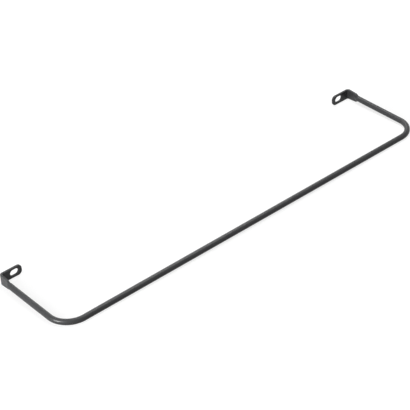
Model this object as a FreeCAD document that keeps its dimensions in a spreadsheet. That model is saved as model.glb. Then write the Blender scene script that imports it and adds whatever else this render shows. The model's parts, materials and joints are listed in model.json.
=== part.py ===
"""Cable strain relief bar for a 19-inch rack, in millimetres.

A round rod is bent twice into a wide U. Each of its two ends is welded to a flat strip that is
folded inwards into a slotted mounting tab. The tabs screw to the rack's rails and the long run
of the rod stands off from them, as a bar to tie cables to.

Frame: X along the bar, Y from the bar towards the rack, Z up. The origin is midway between the
two slots, in the plane of the mounting faces. The rod's centre line lies in the plane Z = 0.
"""
import FreeCAD
import Part
import Sketcher
import math
import os

# Each driving size has a name, a value and what it measures.
SIZES = (
    ("hole_spacing", 465.1, "between the centres of the two mounting slots"),
    ("standoff", 110.6, "from the mounting faces to the centre line of the bar"),
    ("slot_inset", 16.4, "from the centre line of an arm to the centre of its slot"),
    ("rod_diameter", 6.55, "diameter of the round rod over its coating"),
    ("bend_radius", 24.5, "radius of the rod's bends, at its centre line"),
    ("leg_length", 17.9, "from the mounting faces to the ends of the rod"),
    ("tab_thickness", 2.5, "thickness of the strip"),
    ("tab_width", 12.2, "width of the strip in the tab and round the fold"),
    ("neck_width", 10.2, "width of the strip where it meets the rod"),
    ("fold_radius", 1.7, "inside radius of the strip's fold"),
    ("tip_reach", 9.3, "from the centre of a slot to the tip of its tab"),
    ("tip_radius", 4.8, "radius of the two corners at a tab's tip"),
    ("slot_length", 10.2, "length of a slot, end to end"),
    ("slot_width", 7.1, "width of a slot"),
    ("weld_leg", 5.0, "length of a weld along the strip"),
    ("weld_toe", 0.4, "height of a weld above the strip at its thin end"),
)
SIZE = {name: value for name, value, meaning in SIZES}

# Places that more than one piece takes, as expressions of the driving sizes.
ARM_X = "sizes.hole_spacing / 2 + sizes.slot_inset"
FOLD_DEPTH = "sizes.tab_thickness + sizes.fold_radius"
ROD_RADIUS = "sizes.rod_diameter / 2"

# A sketch's own origin and axes, as geometry numbers, and the points of a piece of geometry.
ORIGIN = (-1, 1)
X_AXIS = -1
Y_AXIS = -2
START = 1
END = 2
CENTRE = 3

FINE = 1e-6


def fill_sheet(doc):
    """The spreadsheet of driving sizes: name, value and meaning, one size to a row."""
    sheet = doc.addObject("Spreadsheet::Sheet", "sizes")
    for row, (name, value, meaning) in enumerate(SIZES, start=1):
        sheet.set(f"A{row}", name)
        sheet.set(f"B{row}", str(value))
        sheet.set(f"C{row}", meaning)
        sheet.setAlias(f"B{row}", name)
    doc.recompute()


def bind(item, **expressions):
    """Ties properties of an object to expressions of the sheet's sizes."""
    for name, expression in expressions.items():
        item.setExpression(name, expression)


def place(item, **expressions):
    """Ties the x, y and z of an object's Placement to expressions of the sheet's sizes."""
    for axis, expression in expressions.items():
        item.setExpression(f".Placement.Base.{axis}", expression)


def new_sketch(body, name, role):
    """An empty sketch on one of the body's own origin planes."""
    sketch = body.newObject("Sketcher::SketchObject", name)
    plane = next(item for item in body.Origin.OriginFeatures if item.Role == role)
    sketch.AttachmentSupport = [(plane, "")]
    sketch.MapMode = "FlatFace"
    return sketch


def drawn_size(sketch, kind, where):
    """What a dimension measures on the geometry as it is drawn."""
    if kind == "Radius":
        return sketch.Geometry[where[0]].Radius
    step = sketch.getPoint(*where[2:]) - sketch.getPoint(*where[:2])
    return step.x if kind == "DistanceX" else step.y


def dimension(sketch, name, kind, *where, size):
    """A named dimension whose value is an expression of the sheet's sizes."""
    drawn = drawn_size(sketch, kind, where)
    number = sketch.addConstraint(Sketcher.Constraint(kind, *where, drawn))
    sketch.renameConstraint(number, name)
    sketch.setExpression(f"Constraints.{name}", size)


def relate(sketch, kind, *where):
    """A constraint with no value, such as a tangency."""
    sketch.addConstraint(Sketcher.Constraint(kind, *where))


def line(sketch, start, end):
    """A straight line between two (x, y) points; returns its geometry number."""
    return sketch.addGeometry(Part.LineSegment(FreeCAD.Vector(*start), FreeCAD.Vector(*end)))


def arc(sketch, centre, radius, first, last):
    """An arc about an (x, y) point, anticlockwise between two angles in quarter turns."""
    quarter = math.pi / 2
    circle = Part.Circle(FreeCAD.Vector(*centre), FreeCAD.Vector(0, 0, 1), radius)
    return sketch.addGeometry(Part.ArcOfCircle(circle, first * quarter, last * quarter))


def rod_path(body):
    """The rod's centre line: two arms and the bar between them, joined by tangent bends."""
    sketch = new_sketch(body, "RodPath", "XY_Plane")
    arm_x = SIZE["hole_spacing"] / 2 + SIZE["slot_inset"]
    radius = SIZE["bend_radius"]
    bend_x = arm_x - radius
    bend_y = radius - SIZE["standoff"]
    end_y = -SIZE["leg_length"]
    left_arm = line(sketch, (-arm_x, end_y), (-arm_x, bend_y))
    left_bend = arc(sketch, (-bend_x, bend_y), radius, 2, 3)
    bar = line(sketch, (-bend_x, -SIZE["standoff"]), (bend_x, -SIZE["standoff"]))
    right_bend = arc(sketch, (bend_x, bend_y), radius, 3, 4)
    right_arm = line(sketch, (arm_x, bend_y), (arm_x, end_y))

    relate(sketch, "Tangent", left_arm, END, left_bend, START)
    relate(sketch, "Tangent", left_bend, END, bar, START)
    relate(sketch, "Tangent", bar, END, right_bend, START)
    relate(sketch, "Tangent", right_bend, END, right_arm, START)
    relate(sketch, "Vertical", left_arm)
    relate(sketch, "Horizontal", bar)
    relate(sketch, "Vertical", right_arm)
    relate(sketch, "Equal", left_bend, right_bend)
    relate(sketch, "Symmetric", left_arm, START, right_arm, END, Y_AXIS)
    dimension(sketch, "arm_x", "DistanceX", left_arm, START, *ORIGIN, size=ARM_X)
    dimension(sketch, "end_y", "DistanceY", left_arm, START, *ORIGIN, size="sizes.leg_length")
    dimension(sketch, "bar_y", "DistanceY", bar, START, *ORIGIN, size="sizes.standoff")
    dimension(sketch, "bend", "Radius", left_bend, size="sizes.bend_radius")
    return sketch


def rod_section(body):
    """The rod's round section, where the left arm ends."""
    sketch = new_sketch(body, "RodSection", "XZ_Plane")
    sketch.setExpression(".AttachmentOffset.Base.z", "sizes.leg_length")
    centre = FreeCAD.Vector(-SIZE["hole_spacing"] / 2 - SIZE["slot_inset"], 0)
    radius = SIZE["rod_diameter"] / 2
    circle = sketch.addGeometry(Part.Circle(centre, FreeCAD.Vector(0, 0, 1), radius))
    relate(sketch, "PointOnObject", circle, CENTRE, X_AXIS)
    dimension(sketch, "arm_x", "DistanceX", circle, CENTRE, *ORIGIN, size=ARM_X)
    dimension(sketch, "rod", "Radius", circle, size=ROD_RADIUS)
    return sketch


def make_rod(doc):
    """One round rod, bent twice into a wide U."""
    body = doc.addObject("PartDesign::Body", "LacingRod")
    path = rod_path(body)
    section = rod_section(body)
    pipe = body.newObject("PartDesign::AdditivePipe", "BentRod")
    pipe.Profile = section
    pipe.Spine = path
    doc.recompute()
    return body


def strip_profile(body):
    """The left strip seen from above: a leg in line with the rod, a fold and the tab."""
    sketch = new_sketch(body, "StripProfile", "XY_Plane")
    thick = SIZE["tab_thickness"]
    fold = SIZE["fold_radius"]
    arm_x = -SIZE["hole_spacing"] / 2 - SIZE["slot_inset"]
    tip_x = SIZE["tip_reach"] - SIZE["hole_spacing"] / 2
    outer_x = arm_x - thick / 2
    inner_x = arm_x + thick / 2
    centre = (inner_x + fold, -thick - fold)
    leg_y = -SIZE["leg_length"]

    outer_leg = line(sketch, (outer_x, leg_y), (outer_x, centre[1]))
    outer_fold = arc(sketch, centre, fold + thick, 1, 2)
    mounting_face = line(sketch, (centre[0], 0), (tip_x, 0))
    tip = line(sketch, (tip_x, 0), (tip_x, -thick))
    front_face = line(sketch, (tip_x, -thick), (centre[0], -thick))
    inner_fold = arc(sketch, centre, fold, 1, 2)
    inner_leg = line(sketch, (inner_x, centre[1]), (inner_x, leg_y))
    leg_end = line(sketch, (inner_x, leg_y), (outer_x, leg_y))

    relate(sketch, "Tangent", outer_leg, END, outer_fold, END)
    relate(sketch, "Tangent", outer_fold, START, mounting_face, START)
    relate(sketch, "Coincident", mounting_face, END, tip, START)
    relate(sketch, "Coincident", tip, END, front_face, START)
    relate(sketch, "Tangent", front_face, END, inner_fold, START)
    relate(sketch, "Tangent", inner_fold, END, inner_leg, START)
    relate(sketch, "Coincident", inner_leg, END, leg_end, START)
    relate(sketch, "Coincident", leg_end, END, outer_leg, START)
    relate(sketch, "Coincident", outer_fold, CENTRE, inner_fold, CENTRE)
    for level in (mounting_face, front_face, leg_end):
        relate(sketch, "Horizontal", level)
    for upright in (outer_leg, tip, inner_leg):
        relate(sketch, "Vertical", upright)
    relate(sketch, "PointOnObject", mounting_face, START, X_AXIS)

    outer_place = f"{ARM_X} + sizes.tab_thickness / 2"
    tip_place = "sizes.hole_spacing / 2 - sizes.tip_reach"
    dimension(sketch, "outer_x", "DistanceX", outer_leg, START, *ORIGIN, size=outer_place)
    dimension(sketch, "leg_y", "DistanceY", outer_leg, START, *ORIGIN, size="sizes.leg_length")
    dimension(sketch, "tip_x", "DistanceX", tip, START, *ORIGIN, size=tip_place)
    dimension(sketch, "thick", "DistanceY", tip, END, tip, START, size="sizes.tab_thickness")
    dimension(sketch, "fold", "Radius", inner_fold, size="sizes.fold_radius")
    return sketch


def neck_cuts(body):
    """The two slivers that narrow the leg from the fold's full width to the neck's width."""
    sketch = new_sketch(body, "NeckCuts", "YZ_Plane")
    leg_y = -SIZE["leg_length"]
    fold_y = -SIZE["tab_thickness"] - SIZE["fold_radius"]
    for side, name in ((1, "upper"), (-1, "lower")):
        neck_z = side * SIZE["neck_width"] / 2
        edge_z = side * SIZE["tab_width"] / 2
        taper = line(sketch, (leg_y, neck_z), (fold_y, edge_z))
        edge = line(sketch, (fold_y, edge_z), (leg_y, edge_z))
        close = line(sketch, (leg_y, edge_z), (leg_y, neck_z))
        relate(sketch, "Coincident", taper, END, edge, START)
        relate(sketch, "Coincident", edge, END, close, START)
        relate(sketch, "Coincident", close, END, taper, START)
        relate(sketch, "Horizontal", edge)
        relate(sketch, "Vertical", close)
        neck_point = (taper, START, *ORIGIN) if side < 0 else (*ORIGIN, taper, START)
        edge_point = (edge, START, *ORIGIN) if side < 0 else (*ORIGIN, edge, START)
        dimension(sketch, f"{name}_leg", "DistanceX", taper, START, *ORIGIN, size="sizes.leg_length")
        dimension(sketch, f"{name}_fold", "DistanceX", taper, END, *ORIGIN, size=FOLD_DEPTH)
        dimension(sketch, f"{name}_neck", "DistanceY", *neck_point, size="sizes.neck_width / 2")
        dimension(sketch, f"{name}_edge", "DistanceY", *edge_point, size="sizes.tab_width / 2")
    return sketch


def slot_outline(body):
    """The left slot: two straight sides and two round ends, long way along the bar."""
    sketch = new_sketch(body, "SlotOutline", "XZ_Plane")
    radius = SIZE["slot_width"] / 2
    middle = -SIZE["hole_spacing"] / 2
    reach = SIZE["slot_length"] / 2 - radius
    top = line(sketch, (middle + reach, radius), (middle - reach, radius))
    outer_end = arc(sketch, (middle - reach, 0), radius, 1, 3)
    bottom = line(sketch, (middle - reach, -radius), (middle + reach, -radius))
    inner_end = arc(sketch, (middle + reach, 0), radius, 3, 5)
    relate(sketch, "Tangent", top, END, outer_end, START)
    relate(sketch, "Tangent", outer_end, END, bottom, START)
    relate(sketch, "Tangent", bottom, END, inner_end, START)
    relate(sketch, "Tangent", inner_end, END, top, START)
    relate(sketch, "Equal", outer_end, inner_end)
    relate(sketch, "PointOnObject", outer_end, CENTRE, X_AXIS)
    relate(sketch, "PointOnObject", inner_end, CENTRE, X_AXIS)
    straight = "(sizes.slot_length - sizes.slot_width) / 2"
    near = f"sizes.hole_spacing / 2 - {straight}"
    far = f"sizes.hole_spacing / 2 + {straight}"
    dimension(sketch, "width", "Radius", outer_end, size="sizes.slot_width / 2")
    dimension(sketch, "near", "DistanceX", inner_end, CENTRE, *ORIGIN, size=near)
    dimension(sketch, "far", "DistanceX", outer_end, CENTRE, *ORIGIN, size=far)
    return sketch


def cut_through(body, name, sketch):
    """Cuts a sketch's outline right through the body, both ways, and checks that it did."""
    before = body.Shape.Volume
    pocket = body.newObject("PartDesign::Pocket", name)
    pocket.Profile = sketch
    pocket.Type = "ThroughAll"
    pocket.SideType = "Symmetric"
    body.Document.recompute()
    if body.Shape.Volume > before - FINE:
        raise RuntimeError(f"{name} cuts nothing")


def round_tip(body):
    """Rounds the two corners at the tab's tip."""
    tip_x = SIZE["tip_reach"] - SIZE["hole_spacing"] / 2
    base = body.Tip
    corners = []
    for number, edge in enumerate(base.Shape.Edges, start=1):
        ends = [vertex.Point for vertex in edge.Vertexes]
        at_tip = all(abs(point.x - tip_x) < FINE for point in ends)
        if at_tip and abs(ends[0].z - ends[-1].z) < FINE:
            corners.append(f"Edge{number}")
    fillet = body.newObject("PartDesign::Fillet", "TipCorners")
    fillet.Base = (base, corners)
    bind(fillet, Radius="sizes.tip_radius")
    body.Document.recompute()


def make_left_tab(doc):
    """The left strip, folded, necked down to the rod, rounded at its tip and slotted."""
    body = doc.addObject("PartDesign::Body", "LeftTab")
    profile = strip_profile(body)
    pad = body.newObject("PartDesign::Pad", "Strip")
    pad.Profile = profile
    pad.SideType = "Symmetric"
    bind(pad, Length="sizes.tab_width")
    doc.recompute()
    round_tip(body)
    cut_through(body, "Neck", neck_cuts(body))
    cut_through(body, "Slot", slot_outline(body))
    return body


def make_left_welds(doc):
    """The fillet welds from the rod's left end onto the strip's outer and inner faces."""
    bead = doc.addObject("Part::Cone", "WeldTaper")
    bead.Placement.Rotation = FreeCAD.Rotation(FreeCAD.Vector(1, 0, 0), -90)
    bind(bead, Radius1=ROD_RADIUS, Radius2="sizes.tab_thickness / 2 + sizes.weld_toe")
    bind(bead, Height="sizes.weld_leg")
    place(bead, x=f"-({ARM_X})", y="-sizes.leg_length")

    face_places = {
        "Outer": f"-({ARM_X}) - sizes.tab_thickness / 2 - sizes.rod_diameter",
        "Inner": f"-({ARM_X}) + sizes.tab_thickness / 2",
    }
    welds = []
    for name, face_place in face_places.items():
        room = doc.addObject("Part::Box", f"{name}WeldRoom")
        bind(room, Length="sizes.rod_diameter", Width="sizes.weld_leg", Height="sizes.rod_diameter")
        place(room, x=face_place, y="-sizes.leg_length", z=f"-{ROD_RADIUS}")
        weld = doc.addObject("Part::Common", f"Left{name}Weld")
        weld.Base = bead
        weld.Tool = room
        welds.append(weld)
    doc.recompute()
    return welds


def mirrored(doc, source, name):
    """The right-hand twin of a left-hand piece."""
    twin = doc.addObject("Part::Mirroring", name)
    twin.Source = source
    twin.Normal = FreeCAD.Vector(1, 0, 0)
    return twin


def label_pieces(pieces):
    """Names each piece after its node."""
    for label, piece in pieces.items():
        piece.Label = label


def check(doc, pieces):
    """Stops before anything is written if an object failed or a piece isn't one valid solid."""
    for item in doc.Objects:
        if "Invalid" in item.State or "Error" in item.State:
            raise RuntimeError(f"{item.Label} failed: {item.State}")
        if item.TypeId == "Sketcher::SketchObject" and not item.FullyConstrained:
            raise RuntimeError(f"{item.Label} isn't fully constrained")
    for label, piece in pieces.items():
        shape = piece.Shape
        if shape.isNull() or not shape.isValid() or len(shape.Solids) != 1:
            raise RuntimeError(f"{label} isn't one valid solid")


def main():
    doc = FreeCAD.newDocument("strain_relief_bar")
    fill_sheet(doc)
    rod = make_rod(doc)
    left_tab = make_left_tab(doc)
    left_outer_weld, left_inner_weld = make_left_welds(doc)
    pieces = {
        "lacing_rod": rod,
        "left_tab": left_tab,
        "left_outer_weld": left_outer_weld,
        "left_inner_weld": left_inner_weld,
        "right_tab": mirrored(doc, left_tab, "RightTab"),
        "right_outer_weld": mirrored(doc, left_outer_weld, "RightOuterWeld"),
        "right_inner_weld": mirrored(doc, left_inner_weld, "RightInnerWeld"),
    }
    label_pieces(pieces)
    doc.recompute()
    check(doc, pieces)
    os.makedirs("parts", exist_ok=True)
    for label, piece in pieces.items():
        piece.Shape.exportStep(f"parts/{label}.step")


main()
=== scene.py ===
"""Looks of a cable strain relief bar: a bent rod and two welded tabs under satin black powder coat.

Everything is in metres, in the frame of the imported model: X along the bar, Y from the bar towards
the rack, Z up. The tabs and welds are drawn for the right-hand end, where X is positive, and
mirrored for the left.
"""

import json
import math

import bmesh
import bpy
from mathutils import Matrix, Vector


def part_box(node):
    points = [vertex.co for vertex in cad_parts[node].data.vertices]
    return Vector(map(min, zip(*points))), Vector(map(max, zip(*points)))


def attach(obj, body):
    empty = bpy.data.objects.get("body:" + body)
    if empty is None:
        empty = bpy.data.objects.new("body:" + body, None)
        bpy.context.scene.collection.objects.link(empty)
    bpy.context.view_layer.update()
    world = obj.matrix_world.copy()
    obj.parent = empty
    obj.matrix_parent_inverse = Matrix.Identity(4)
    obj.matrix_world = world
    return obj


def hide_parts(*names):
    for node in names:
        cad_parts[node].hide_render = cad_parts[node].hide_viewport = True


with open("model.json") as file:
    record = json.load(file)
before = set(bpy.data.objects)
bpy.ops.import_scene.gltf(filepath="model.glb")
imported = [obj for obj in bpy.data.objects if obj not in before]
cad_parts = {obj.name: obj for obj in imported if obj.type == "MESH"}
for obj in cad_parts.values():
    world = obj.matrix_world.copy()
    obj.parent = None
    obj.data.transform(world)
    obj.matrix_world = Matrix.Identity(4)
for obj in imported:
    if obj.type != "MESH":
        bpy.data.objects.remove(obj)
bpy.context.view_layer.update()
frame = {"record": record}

MM = 0.001

# Sizes of the construction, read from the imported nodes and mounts.
rod_low, rod_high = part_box("lacing_rod")
tab_low, tab_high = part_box("right_tab")
weld_low, weld_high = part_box("right_outer_weld")
slots = next(mount for mount in frame["record"]["mounts"] if mount["name"] == "rack_slots")["dims"]
ROD_RADIUS = (rod_high.z - rod_low.z) / 2
ARM_X = rod_high.x - ROD_RADIUS
BAR_Y = rod_low.y + ROD_RADIUS
ROD_END_Y = rod_high.y
STRIP_THICKNESS = 2 * (tab_high.x - ARM_X)
STRIP_HALF_WIDTH = tab_high.z
TIP_X = tab_low.x
WELD_LEG = weld_high.y - weld_low.y
SLOT_X = slots["spacing_x_mm"] * MM / 2
SLOT_RADIUS = slots["hole_r_mm"] * MM
SLOT_HALF_STRAIGHT = slots["slot_length_mm"] * MM / 2 - SLOT_RADIUS

# Sizes of the same construction that its boxes don't show.
BEND_RADIUS = 24.5 * MM
FOLD_RADIUS = 1.7 * MM
NECK_HALF_WIDTH = 5.1 * MM
TIP_RADIUS = 4.8 * MM

# Small shapes that only the looks have: the rod's soft end rims and flattened bends.
ROD_RIM = 0.3 * MM
BEND_FLATTENING = 0.025

# The strip's rounded edges, and its flare, which starts inside the rod at a share of the rod's radius.
EDGE_ROUNDING = 0.5 * MM
FLARE_START = 0.94
FLARE_OVERLAP = 1.5 * MM
FLARE_REACH = 3.2 * MM

# A weld laps over the rod by its lip, which starts a share of the crown under the rod's skin.
WELD_LIP = 1.0 * MM
WELD_CROWN = 0.12 * MM
WELD_DIP = 0.4

# From the crown it slopes down over a round shoulder, hollows and narrows to a round toe.
WELD_SHOULDER = 0.15
WELD_HOLLOW = 1.2
WELD_NARROWING = 0.12
WELD_TOE_ROUNDNESS = 3
WELD_LEAST_HALF_WIDTH = 0.1 * MM
WELD_LEAST_HEIGHT = 0.025 * MM

# How far under the strip's face a weld's edges and its flat base lie.
WELD_EDGE_DEPTH = 0.05 * MM
WELD_BASE_DEPTH = 0.2 * MM

# A weld's ripples, which fade out over a share of its leg.
RIPPLE_HEIGHT = 0.06 * MM
RIPPLE_LENGTH = 1.1 * MM
RIPPLE_CURVE = 0.12 / MM
RIPPLE_FADE = 0.5

# The photograph's camera: angles in degrees, lens and sensor in millimetres.
VIEW_AZIMUTH = -38.375
VIEW_ELEVATION = 35.72
VIEW_ROLL = -3.977
VIEW_DISTANCE = 1.6443
VIEW_LENS = 133.97
VIEW_SENSOR = 36.0
AIM_RIGHT = -15.99 * MM
AIM_UP = -4.99 * MM


def spread(first, last, count):
    """Evenly spaced values from first to last, both included."""
    return [first + (last - first) * i / (count - 1) for i in range(count)]


def smooth(value):
    """A soft step from 0 to 1."""
    value = min(max(value, 0.0), 1.0)
    return value * value * (3 - 2 * value)


def ring_faces(near, far):
    """Faces between two closed rings of point numbers."""
    count = len(near)
    return [(near[i - 1], near[i], far[i], far[i - 1]) for i in range(count)]


def loft(rings):
    """Points and faces of a closed skin over rings that have equally many points."""
    count = len(rings[0])
    points = [point for ring in rings for point in ring]
    rows = [list(range(row * count, (row + 1) * count)) for row in range(len(rings))]
    faces = [tuple(rows[0]), tuple(rows[-1])]
    for near, far in zip(rows, rows[1:]):
        faces += ring_faces(near, far)
    return points, faces


def new_piece(name, node, points, faces, material, wear=()):
    """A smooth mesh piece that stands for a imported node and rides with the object.

    Wear, where given, is how rubbed the coat is at each point, from 0 to 1.
    """
    mesh = bpy.data.meshes.new(name)
    mesh.from_pydata([tuple(point) for point in points], [], faces)
    shape = bmesh.new()
    shape.from_mesh(mesh)
    bmesh.ops.recalc_face_normals(shape, faces=shape.faces)
    shape.to_mesh(mesh)
    shape.free()
    if wear:
        mesh.attributes.new("edge_wear", "FLOAT", "POINT").data.foreach_set("value", wear)
    mesh.shade_smooth()
    mesh.materials.append(material)
    piece = bpy.data.objects.new(name, mesh)
    bpy.context.scene.collection.objects.link(piece)
    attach(piece, "root")
    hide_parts(node)
    return piece


def rod_stations():
    """Centre, heading and bend share of each ring along the rod, from its left to its right end.

    The bend share is 0 on the straight runs and 1 in the middle of a bend.
    """
    bend_x = ARM_X - BEND_RADIUS
    bend_y = BAR_Y + BEND_RADIUS
    quarter = math.pi / 2
    arm_rings = 24
    bend_rings = 41
    bar_rings = 120
    stations = []
    for y in [ROD_END_Y] + spread(ROD_END_Y - ROD_RIM, bend_y, arm_rings)[:-1]:
        stations.append((Vector((-ARM_X, y, 0)), -quarter, 0.0))
    for share in spread(0, 1, bend_rings):
        turn = share * quarter
        x = -bend_x - BEND_RADIUS * math.cos(turn)
        y = bend_y - BEND_RADIUS * math.sin(turn)
        stations.append((Vector((x, y, 0)), turn - quarter, math.sin(math.pi * share) ** 2))
    half = len(stations)
    for x in spread(-bend_x, bend_x, bar_rings)[1:-1]:
        stations.append((Vector((x, BAR_Y, 0)), 0.0, 0.0))
    for centre, heading, share in reversed(stations[:half]):
        stations.append((Vector((-centre.x, centre.y, 0)), -heading, share))
    return stations


def rod_ring(centre, heading, share):
    """One round section of the rod, slightly flattened in the plane of a bend."""
    side = Vector((-math.sin(heading), math.cos(heading), 0))
    ring_points = 64
    across = ROD_RADIUS * (1 - BEND_FLATTENING * share)
    upward = ROD_RADIUS * (1 + BEND_FLATTENING * share / 2)
    ring = []
    for i in range(ring_points):
        turn = 2 * math.pi * i / ring_points
        ring.append(centre + side * across * math.cos(turn) + Vector((0, 0, upward * math.sin(turn))))
    return ring


def make_rod(material):
    """The round rod, bent twice into a wide U."""
    points, faces = loft([rod_ring(*station) for station in rod_stations()])
    new_piece("lacing_rod_coated", "lacing_rod", points, faces, material)


def strip_lengths():
    """Lengths along the strip's middle: the straight leg, the fold and the flat tab."""
    leg = -ROD_END_Y - STRIP_THICKNESS - FOLD_RADIUS
    fold = (FOLD_RADIUS + STRIP_THICKNESS / 2) * math.pi / 2
    tab = ARM_X - STRIP_THICKNESS / 2 - FOLD_RADIUS - TIP_X
    return leg, fold, tab


def folded(along, across, height):
    """The place of a point of the flat strip, at a height above its middle, once the strip is folded."""
    leg, fold = strip_lengths()[:2]
    middle = FOLD_RADIUS + STRIP_THICKNESS / 2
    centre_x = ARM_X - middle
    centre_y = -STRIP_THICKNESS / 2 - middle
    if along <= leg:
        return Vector((ARM_X + height, ROD_END_Y + along, across))
    if along <= leg + fold:
        turn = (along - leg) / middle
        radius = middle + height
        return Vector((centre_x + radius * math.cos(turn), centre_y + radius * math.sin(turn), across))
    return Vector((centre_x - (along - leg - fold), height - STRIP_THICKNESS / 2, across))


def face_half_width(along):
    """Half the width of the strip's flat face: a soft flare out of the rod, then a taper up to the fold."""
    leg = strip_lengths()[0]
    taper = min(max(along / leg, 0.0), 1.0)
    half = NECK_HALF_WIDTH + (STRIP_HALF_WIDTH - NECK_HALF_WIDTH) * taper
    flare = smooth((along + FLARE_OVERLAP) / (FLARE_OVERLAP + FLARE_REACH))
    start = FLARE_START * ROD_RADIUS
    return start + (half - start) * flare - EDGE_ROUNDING


def slot_point(along, across):
    """Where a ray from the slot's centre meets the rim of the flat face round the slot."""
    length = math.hypot(along, across)
    along /= length
    across /= length
    radius = SLOT_RADIUS + EDGE_ROUNDING
    if abs(across) > 0:
        reach = radius / abs(across)
        if abs(along) * reach <= SLOT_HALF_STRAIGHT:
            return along * reach, across * reach
    toward = abs(along) * SLOT_HALF_STRAIGHT
    reach = toward + math.sqrt(toward ** 2 - SLOT_HALF_STRAIGHT ** 2 + radius ** 2)
    return along * reach, across * reach


def tip_outline(start, end):
    """The flat face's outline beyond start, from its lower to its upper corner, by way of the tip."""
    side_points = 22
    corner_points = 13
    tip_points = 7
    low = EDGE_ROUNDING - STRIP_HALF_WIDTH
    tip = end - EDGE_ROUNDING
    radius = TIP_RADIUS - EDGE_ROUNDING
    outline = [(along, low) for along in spread(start, tip - radius, side_points)]
    for turn in spread(-math.pi / 2, 0, corner_points)[1:]:
        outline.append((tip - radius * (1 - math.cos(turn)), low + radius * (1 + math.sin(turn))))
    for across in spread(low + radius, 0, tip_points)[1:]:
        outline.append((tip, across))
    return outline + [(along, -across) for along, across in reversed(outline[:-1])]


def face_rows():
    """Distances along the strip of the rows of points between the rod and the slotted end."""
    flare_rows = 19
    leg_rows = 9
    fold_rows = 17
    tab_rows = 4
    leg, fold, tab = strip_lengths()
    slotted_end = 2 * (SLOT_X - TIP_X)
    rows = spread(EDGE_ROUNDING - FLARE_OVERLAP, FLARE_REACH, flare_rows)
    rows += spread(FLARE_REACH, leg, leg_rows)[1:]
    rows += spread(leg, leg + fold, fold_rows)[1:]
    rows += spread(leg + fold, leg + fold + tab - slotted_end, tab_rows)[1:]
    return rows


def flat_face():
    """Points and faces of the strip's flat face, and the point numbers of its outline and slot rim."""
    width = 17
    slot_rings = 6
    end = sum(strip_lengths())
    slot_along = end - (SLOT_X - TIP_X)
    rows = face_rows()
    shares = [math.sin(turn) for turn in spread(-math.pi / 2, math.pi / 2, width)]
    points = [(along, share * face_half_width(along)) for along in rows for share in shares]
    faces = []
    for row in range(len(rows) - 1):
        for i in range(width - 1):
            corner = row * width + i
            faces.append((corner, corner + 1, corner + width + 1, corner + width))

    row_starts = [row * width for row in range(len(rows))]
    tip_points = tip_outline(rows[-1], end)[1:-1]
    tip_numbers = list(range(len(points), len(points) + len(tip_points)))
    points += tip_points
    last_row = [row_starts[-1] + i for i in range(width)]
    outline = row_starts + tip_numbers + [start + width - 1 for start in reversed(row_starts)]
    outline += reversed(range(1, width - 1))

    rim = [last_row[0]] + tip_numbers + last_row[:0:-1]
    outer = [points[number] for number in rim]
    count = len(rim)
    for share in spread(0, 1, slot_rings)[1:]:
        inner = list(range(len(points), len(points) + count))
        for along, across in outer:
            slot = slot_point(along - slot_along, across)
            step_along = (slot_along + slot[0] - along) * share
            step_across = (slot[1] - across) * share
            points.append((along + step_along, across + step_across))
        for i in range(count):
            j = (i + 1) % count
            faces.append((rim[i], rim[j], inner[j], inner[i]))
        rim = inner
    return points, faces, outline, rim


def outward(loop, i):
    """The direction square to a closed outline at one of its points, to the right of its run."""
    before = Vector(loop[i]) - Vector(loop[i - 1])
    after = Vector(loop[(i + 1) % len(loop)]) - Vector(loop[i])
    run = (before.normalized() + after.normalized()).normalized()
    return Vector((run.y, -run.x))


def make_tab(name, node, side, material):
    """A folded strip with a rounded tip, a slot and softened edges."""
    flat, flat_faces, outline, rim = flat_face()
    half = STRIP_THICKNESS / 2
    count = len(flat)
    points = [(along, across, half) for along, across in flat]
    points += [(along, across, -half) for along, across in flat]
    faces = flat_faces + [tuple(number + count for number in face) for face in flat_faces]

    edge_rings = 6
    wear = [0.0] * len(points)
    profile = []
    for turn in spread(0, math.pi / 2, edge_rings)[1:]:
        drop = EDGE_ROUNDING * (1 - math.cos(turn))
        profile.append((EDGE_ROUNDING * math.sin(turn), half - drop, math.sin(2 * turn)))
    profile += [(out, -height, rubbed) for out, height, rubbed in reversed(profile)]
    for loop, sense in ((outline, 1), (rim, -1)):
        corners = [flat[number] for number in loop]
        ring = loop
        for out, height, rubbed in profile:
            start = len(points)
            for i, (along, across) in enumerate(corners):
                shift = outward(corners, i) * out * sense
                points.append((along + shift.x, across + shift.y, height))
                wear.append(rubbed)
            next_ring = list(range(start, len(points)))
            faces += ring_faces(ring, next_ring)
            ring = next_ring
        faces += ring_faces(ring, [number + count for number in loop])

    places = []
    for along, across, height in points:
        place = folded(along, across, height)
        places.append((side * place.x, place.y, place.z))
    piece = new_piece(name, node, places, faces, material, wear)
    piece.modifiers.new("normals", "WEIGHTED_NORMAL")


def weld_section(along):
    """Half width of a weld, and its height above the strip, at a distance from the rod's end."""
    rod_height = ROD_RADIUS - STRIP_THICKNESS / 2
    rod_width = math.sqrt(ROD_RADIUS ** 2 - (STRIP_THICKNESS / 2) ** 2)
    if along <= 0:
        rise = smooth(1 + along / WELD_LIP)
        swell = WELD_CROWN * ((1 + WELD_DIP) * rise - WELD_DIP)
        return rod_width + swell, rod_height + swell
    run = along / WELD_LEG
    fall = math.hypot(run, WELD_SHOULDER) - WELD_SHOULDER
    full_fall = math.hypot(1, WELD_SHOULDER) - WELD_SHOULDER
    height = (rod_height + WELD_CROWN) * max(1 - fall / full_fall, 0.0) ** WELD_HOLLOW
    toe = math.sqrt(max(1 - run ** WELD_TOE_ROUNDNESS, 0.0))
    half = (rod_width + WELD_CROWN) * (1 - WELD_NARROWING * run) * toe
    return max(half, WELD_LEAST_HALF_WIDTH), max(height, WELD_LEAST_HEIGHT)


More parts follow.
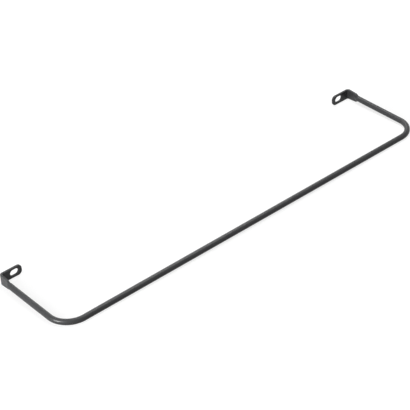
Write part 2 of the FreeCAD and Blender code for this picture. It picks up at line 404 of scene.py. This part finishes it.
def weld_ring(along, side, face):
    """One section across a weld: a round back over a flat base, its edges sunk into the strip."""
    half, height = weld_section(along)
    radius = (half ** 2 + height ** 2) / (2 * height)
    strip_face = STRIP_THICKNESS / 2
    side_points = 41
    fade = smooth((along + WELD_LIP) / WELD_LIP) * smooth((WELD_LEG - along) / (RIPPLE_FADE * WELD_LEG))
    back = []
    for across in spread(-half, half, side_points):
        lift = math.sqrt(max(radius ** 2 - across ** 2, 0.0)) - (radius - height)
        travel = across + RIPPLE_CURVE * along ** 2
        edge = 1 - (across / half) ** 2
        ripple = RIPPLE_HEIGHT * fade * edge * math.sin(2 * math.pi * travel / RIPPLE_LENGTH)
        back.append((strip_face - WELD_EDGE_DEPTH + lift + ripple, across))
    base = [(strip_face - WELD_BASE_DEPTH, across) for across in spread(half, -half, side_points)]
    ring = []
    for out, across in back + base:
        ring.append(Vector((side * (ARM_X + face * out), ROD_END_Y + along, across)))
    return ring


def make_weld(name, node, side, face, material):
    """A fillet weld from the rod's end onto one face of the strip, with soft ripples."""
    lip_rings = 10
    leg_rings = 44
    stations = spread(-WELD_LIP, 0, lip_rings) + spread(0, WELD_LEG, leg_rings)[1:]
    points, faces = loft([weld_ring(along, side, face) for along in stations])
    new_piece(name, node, points, faces, material)


def add_node(tree, kind, **sockets):
    """A shader node whose named input sockets are set to constant values."""
    node = tree.nodes.new(kind)
    for name, value in sockets.items():
        node.inputs[name.replace("_", " ")].default_value = value
    return node


NOISE_ROUGHNESS = 0.55


def noise(tree, place, scale, detail):
    """A noise pattern fixed to the object, with its coarsest features 1 / scale metres apart."""
    node = add_node(tree, "ShaderNodeTexNoise", Scale=scale, Detail=detail, Roughness=NOISE_ROUGHNESS)
    tree.links.new(place, node.inputs["Vector"])
    return node.outputs["Fac"]


def remap(tree, value, low, high, new_low, new_high):
    """A value moved from one range to another and kept inside it."""
    node = add_node(
        tree, "ShaderNodeMapRange", From_Min=low, From_Max=high, To_Min=new_low, To_Max=new_high
    )
    tree.links.new(value, node.inputs["Value"])
    return node.outputs["Result"]


def combine(tree, operation, first, second):
    """Two values put together by a maths operation."""
    node = tree.nodes.new("ShaderNodeMath")
    node.operation = operation
    tree.links.new(first, node.inputs[0])
    tree.links.new(second, node.inputs[1])
    return node.outputs[0]


def blend(tree, factor, first, second):
    """A colour between two fixed colours or colour outputs."""
    node = tree.nodes.new("ShaderNodeMixRGB")
    tree.links.new(factor, node.inputs["Fac"])
    for socket, colour in (("Color1", first), ("Color2", second)):
        if isinstance(colour, tuple):
            node.inputs[socket].default_value = colour + (1,)
        else:
            tree.links.new(colour, node.inputs[socket])
    return node.outputs["Color"]


# The coat's colours where it is thin, full and rubbed, and its gloss, as shader roughness.
COAT_THIN = (0.045, 0.0457, 0.0475)
COAT_FULL = (0.054, 0.0548, 0.057)
COAT_RUBBED = (0.085, 0.0858, 0.088)
COAT_SPECULAR = 0.22
COAT_GLOSSIEST = 0.31
COAT_DULLEST = 0.43

# Features to a metre of the coat's patterns, and how many finer layers each one has.
CLOUD_SCALE = 45.0
PATCH_SCALE = 260.0
PEEL_SCALE = 950.0
SPECK_SCALE = 3200.0
CLOUD_DETAIL = 4.0
PEEL_DETAIL = 2.0

# The stretch of a pattern's range over which its effect goes from least to most.
TONE_STRETCH = (0.3, 0.7)
GLOSS_STRETCH = (0.35, 0.65)
PATCH_STRETCH = (0.38, 0.62)

# How much each pattern counts, how rubbed the least rubbed patches are, and the surface's relief.
CLOUD_TONE_SHARE = 0.65
PEEL_GLOSS_SHARE = 0.5
SPECK_HEIGHT_SHARE = 0.18
LEAST_RUBBED = 0.15
PEEL_STRENGTH = 0.6
PEEL_DEPTH = 0.14 * MM


def powder_coat():
    """Satin black powder coat: mottled tone, orange-peel surface, edges rubbed a little lighter."""
    material = bpy.data.materials.new("satin_black_powder_coat")
    material.use_nodes = True
    tree = material.node_tree
    shader = tree.nodes["Principled BSDF"]
    shader.inputs["Specular IOR Level"].default_value = COAT_SPECULAR
    place = tree.nodes.new("ShaderNodeTexCoord").outputs["Object"]
    cloud = noise(tree, place, CLOUD_SCALE, CLOUD_DETAIL)
    patch = noise(tree, place, PATCH_SCALE, CLOUD_DETAIL)
    peel = noise(tree, place, PEEL_SCALE, PEEL_DETAIL)
    speck = noise(tree, place, SPECK_SCALE, PEEL_DETAIL)

    cloud_tone = remap(tree, cloud, *TONE_STRETCH, 0.0, CLOUD_TONE_SHARE)
    speck_tone = remap(tree, speck, *TONE_STRETCH, 0.0, 1 - CLOUD_TONE_SHARE)
    tone = blend(tree, combine(tree, "ADD", cloud_tone, speck_tone), COAT_THIN, COAT_FULL)
    wear = tree.nodes.new("ShaderNodeAttribute")
    wear.attribute_name = "edge_wear"
    patches = remap(tree, patch, *PATCH_STRETCH, LEAST_RUBBED, 1.0)
    rubbed = combine(tree, "MULTIPLY", wear.outputs["Fac"], patches)
    tree.links.new(blend(tree, rubbed, tone, COAT_RUBBED), shader.inputs["Base Color"])

    peel_gloss = remap(tree, peel, *TONE_STRETCH, 0.0, PEEL_GLOSS_SHARE)
    cloud_gloss = remap(tree, cloud, *GLOSS_STRETCH, 0.0, 1 - PEEL_GLOSS_SHARE)
    grain = combine(tree, "ADD", peel_gloss, cloud_gloss)
    gloss = remap(tree, grain, 0.0, 1.0, COAT_GLOSSIEST, COAT_DULLEST)
    tree.links.new(gloss, shader.inputs["Roughness"])

    height = combine(tree, "ADD", peel, remap(tree, speck, 0.0, 1.0, 0.0, SPECK_HEIGHT_SHARE))
    surface = add_node(tree, "ShaderNodeBump", Strength=PEEL_STRENGTH, Distance=PEEL_DEPTH)
    tree.links.new(height, surface.inputs["Height"])
    tree.links.new(surface.outputs["Normal"], shader.inputs["Normal"])
    return material


def seen_directly(tree):
    """A 0 or 1 value: whether a ray comes from the camera, a reflection or a see-through surface."""
    path = tree.nodes.new("ShaderNodeLightPath").outputs
    mirrored = combine(tree, "MAXIMUM", path["Is Glossy Ray"], path["Is Transmission Ray"])
    return combine(tree, "MAXIMUM", path["Is Camera Ray"], mirrored)


WHITE = (1, 1, 1, 1)
FLOOR_REACH = 6.0
FLOOR_TONE = 0.27
FLOOR_GLOW = 0.76

# How far out the glow starts to rise and is full, where 1 is the ellipse through the object's ends.
FLOOR_FADE_START = 1.1
FLOOR_FADE_END = 2.4


def pale_floor():
    """Matt floor whose own glow, where it is seen directly, rises to white away from the object."""
    material = bpy.data.materials.new("pale_floor")
    material.use_nodes = True
    tree = material.node_tree
    shader = tree.nodes["Principled BSDF"]
    shader.inputs["Base Color"].default_value = (FLOOR_TONE, FLOOR_TONE, FLOOR_TONE, 1)
    shader.inputs["Roughness"].default_value = 1.0
    shader.inputs["Specular IOR Level"].default_value = 0.0
    shader.inputs["Emission Color"].default_value = WHITE
    place = add_node(tree, "ShaderNodeMapping", Scale=(1 / rod_high.x, 2 / BAR_Y, 0), Location=(0, -1, 0))
    tree.links.new(tree.nodes.new("ShaderNodeTexCoord").outputs["Object"], place.inputs["Vector"])
    distance = tree.nodes.new("ShaderNodeVectorMath")
    distance.operation = "LENGTH"
    tree.links.new(place.outputs["Vector"], distance.inputs[0])
    glow = remap(tree, distance.outputs["Value"], FLOOR_FADE_START, FLOOR_FADE_END, FLOOR_GLOW, 1.0)
    seen_glow = combine(tree, "MULTIPLY", glow, seen_directly(tree))
    tree.links.new(seen_glow, shader.inputs["Emission Strength"])
    return material


def add_floor():
    """A pale floor that the bar and the tabs' folds touch."""
    fold_y = -STRIP_THICKNESS - FOLD_RADIUS
    slope = (rod_low.z - tab_low.z) / (BAR_Y - fold_y)
    corners = []
    for side_x, side_y in ((-1, -1), (1, -1), (1, 1), (-1, 1)):
        y = side_y * FLOOR_REACH
        corners.append((side_x * FLOOR_REACH, y, tab_low.z + slope * (y - fold_y)))
    mesh = bpy.data.meshes.new("floor")
    mesh.from_pydata(corners, [], [(0, 1, 2, 3)])
    mesh.materials.append(pale_floor())
    floor = bpy.data.objects.new("floor", mesh)
    bpy.context.scene.collection.objects.link(floor)


WORLD_FILL = 0.03


def set_world():
    """Dim even light all round, which the camera and reflections see as white."""
    world = bpy.data.worlds.new("studio")
    world.use_nodes = True
    tree = world.node_tree
    background = tree.nodes["Background"]
    background.inputs["Color"].default_value = WHITE
    strength = remap(tree, seen_directly(tree), 0.0, 1.0, WORLD_FILL, 1.0)
    tree.links.new(strength, background.inputs["Strength"])
    bpy.context.scene.world = world


# Each panel: name, place, the X that it points at, size, watts, and whether reflections show it.
PANELS = (
    ("left_low_panel", (-1.2, -0.05, 0.3), -0.2, 0.9, 15.0, False),
    ("left_high_panel", (-0.9, -0.05, 0.8), -0.2, 0.7, 3.0, True),
    ("top_panel", (0.37, 0.05, 1.0), 0.2, 0.6, 5.9, True),
    ("back_panel", (0.42, 0.54, 0.66), 0.25, 0.45, 2.6, True),
)

# The spot that makes the left bend's highlight and no other light; its cone is in degrees.
SPOT_PLACE = (-1.05, -0.12, 0.42)
SPOT_AIM = (-0.248, -0.099, 0.001)
SPOT_CONE = 1.9
SPOT_RADIUS = 0.01
SPOT_POWER = 85.0


def add_lamp(data, place, aim):
    """A lamp at a place, turned towards an aim."""
    lamp = bpy.data.objects.new(data.name, data)
    lamp.location = place
    lamp.rotation_euler = (Vector(place) - Vector(aim)).to_track_quat("Z", "Y").to_euler()
    bpy.context.scene.collection.objects.link(lamp)
    return lamp


def add_lights():
    """Soft panels at the left, above and behind, and a narrow spot on the left bend."""
    for name, place, aim_x, size, power, reflected in PANELS:
        panel = bpy.data.lights.new(name, "AREA")
        panel.shape = "DISK"
        panel.size = size
        panel.energy = power
        lamp = add_lamp(panel, place, (aim_x, BAR_Y / 2, 0))
        lamp.visible_glossy = reflected
    spot = bpy.data.lights.new("left_spot", "SPOT")
    spot.shadow_soft_size = SPOT_RADIUS
    spot.spot_size = math.radians(SPOT_CONE)
    spot.spot_blend = 1.0
    spot.energy = SPOT_POWER
    lamp = add_lamp(spot, SPOT_PLACE, SPOT_AIM)
    lamp.visible_diffuse = False


def add_camera():
    """The camera of the photograph: above and in front of the left end, tipped a little."""
    azimuth = math.radians(VIEW_AZIMUTH)
    elevation = math.radians(VIEW_ELEVATION)
    roll = math.radians(VIEW_ROLL)
    right = Vector((math.cos(azimuth), math.sin(azimuth), 0))
    back = Vector((
        math.sin(azimuth) * math.cos(elevation),
        -math.cos(azimuth) * math.cos(elevation),
        math.sin(elevation),
    ))
    up = back.cross(right)
    aim = Vector((0, BAR_Y / 2, 0)) + right * AIM_RIGHT + up * AIM_UP
    tipped_right = right * math.cos(roll) + up * math.sin(roll)
    tipped_up = up * math.cos(roll) - right * math.sin(roll)
    turn = Matrix((tipped_right, tipped_up, back)).transposed()
    data = bpy.data.cameras.new("camera")
    data.sensor_width = VIEW_SENSOR
    data.lens = VIEW_LENS
    camera = bpy.data.objects.new("camera", data)
    camera.matrix_world = Matrix.Translation(aim + back * VIEW_DISTANCE) @ turn.to_4x4()
    bpy.context.scene.collection.objects.link(camera)
    bpy.context.scene.camera = camera


def make_pieces():
    """Every visible piece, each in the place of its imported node."""
    coat = powder_coat()
    make_rod(coat)
    for side, end in ((-1, "left"), (1, "right")):
        make_tab(f"{end}_tab_coated", f"{end}_tab", side, coat)
        for face, where in ((1, "outer"), (-1, "inner")):
            make_weld(f"{end}_{where}_weld_coated", f"{end}_{where}_weld", side, face, coat)


add_camera()
make_pieces()
add_floor()
set_world()
add_lights()
bpy.context.scene.view_settings.view_transform = "Standard"
